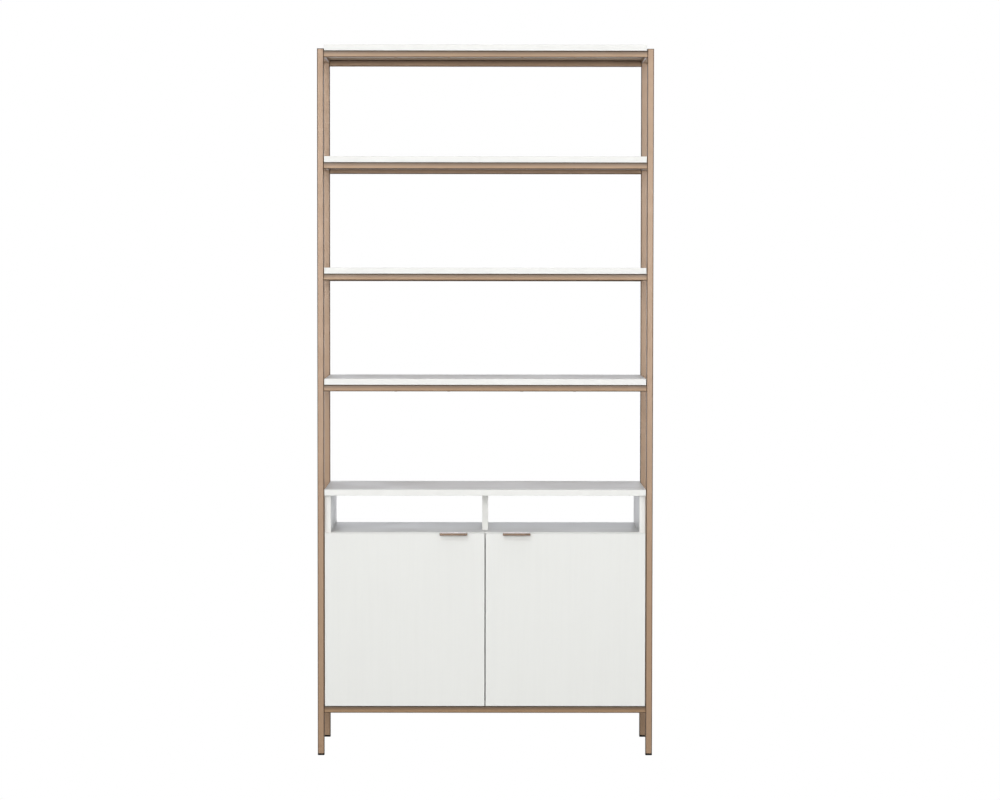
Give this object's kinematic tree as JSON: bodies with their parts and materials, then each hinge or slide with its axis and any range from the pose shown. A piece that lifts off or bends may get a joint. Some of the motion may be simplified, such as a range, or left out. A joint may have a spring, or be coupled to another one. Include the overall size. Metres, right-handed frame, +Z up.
{
  "type": "modular bookcase",
  "caption": "Tall open bookcase on a square-tube metal frame, with white shelves above a cabinet that has an open cubby and a two-door cupboard.",
  "frame": {"origin": "middle of the whole piece's footprint, on the floor", "axes": "+X to the viewer's right along the shelves, +Y to the back, +Z up"},
  "size_m": [1.01, 0.42, 2.14],
  "materials": {
    "frame_metal": "satin champagne lacquer over steel tube",
    "pull_metal": "satin bronze",
    "white_board": "satin cream-white laminate with a faint grain",
    "back_board": "matt white",
    "hinge_steel": "nickel plated",
    "screw_steel": "zinc plated",
    "black_plastic": "matt black",
    "bumper_rubber": "clear soft rubber"
  },
  "bodies": {
    "frame_and_cabinet": {"post_front_left": "frame_metal", "post_rear_left": "frame_metal", "post_front_right": "frame_metal", "post_rear_right": "frame_metal", "crossbar_left_1": "frame_metal", "crossbar_left_2": "frame_metal", "crossbar_left_3": "frame_metal", "crossbar_left_4": "frame_metal", "crossbar_left_5": "frame_metal", "crossbar_right_1": "frame_metal", "crossbar_right_2": "frame_metal", "crossbar_right_3": "frame_metal", "crossbar_right_4": "frame_metal", "crossbar_right_5": "frame_metal", "front_rail_1": "frame_metal", "front_rail_2": "frame_metal", "front_rail_3": "frame_metal", "front_rail_4": "frame_metal", "rear_rail_1": "frame_metal", "rear_rail_2": "frame_metal", "rear_rail_3": "frame_metal", "rear_rail_4": "frame_metal", "bottom_rail_front": "frame_metal", "bottom_rail_rear": "frame_metal", "glide_front_left": "black_plastic", "glide_rear_left": "black_plastic", "glide_front_right": "black_plastic", "glide_rear_right": "black_plastic", "post_caps": "black_plastic", "shelf_board_1": "white_board", "shelf_board_2": "white_board", "shelf_board_3": "white_board", "shelf_board_4": "white_board", "cabinet_top": "white_board", "side_panel_left": "white_board", "side_panel_right": "white_board", "cubby_floor": "white_board", "cubby_divider": "white_board", "cabinet_bottom": "white_board", "inner_shelf": "white_board", "back_panel": "back_board", "hinge_arms_left": "hinge_steel", "hinge_arms_right": "hinge_steel", "shelf_screws": "screw_steel", "cabinet_screws": "screw_steel", "shelf_pins": "screw_steel", "rail_stubs": "frame_metal", "frame_bolts": "screw_steel", "door_bumpers": "bumper_rubber"},
    "door_left": {"door_left": "white_board", "pull_left": "pull_metal", "hinge_cups_left": "hinge_steel"},
    "hinge_links_left": {"hinge_links_left": "hinge_steel"},
    "door_right": {"door_right": "white_board", "pull_right": "pull_metal", "hinge_cups_right": "hinge_steel"},
    "hinge_links_right": {"hinge_links_right": "hinge_steel"}
  },
  "joints": [
    {"name": "door_left_hinge", "type": "hinge", "parent": "frame_and_cabinet", "child": "door_left", "pos_m": [-0.477, -0.186, 0.411], "axis": [0, 0, -1], "range_deg": [0, 110]},
    {"name": "hinge_link_left", "type": "hinge", "parent": "door_left", "child": "hinge_links_left", "pos_m": [-0.471, -0.179, 0.411], "axis": [0, 0, 1], "range_deg": [0, 80]},
    {"name": "door_right_hinge", "type": "hinge", "parent": "frame_and_cabinet", "child": "door_right", "pos_m": [0.477, -0.186, 0.411], "axis": [0, 0, 1], "range_deg": [0, 110]},
    {"name": "hinge_link_right", "type": "hinge", "parent": "door_right", "child": "hinge_links_right", "pos_m": [0.471, -0.179, 0.411], "axis": [0, 0, -1], "range_deg": [0, 80]}
  ],
  "couplings": [
    {"joint": "hinge_link_left", "follows": "door_left_hinge", "ratio": 0.7272},
    {"joint": "hinge_link_right", "follows": "door_right_hinge", "ratio": 0.7272}
  ]
}
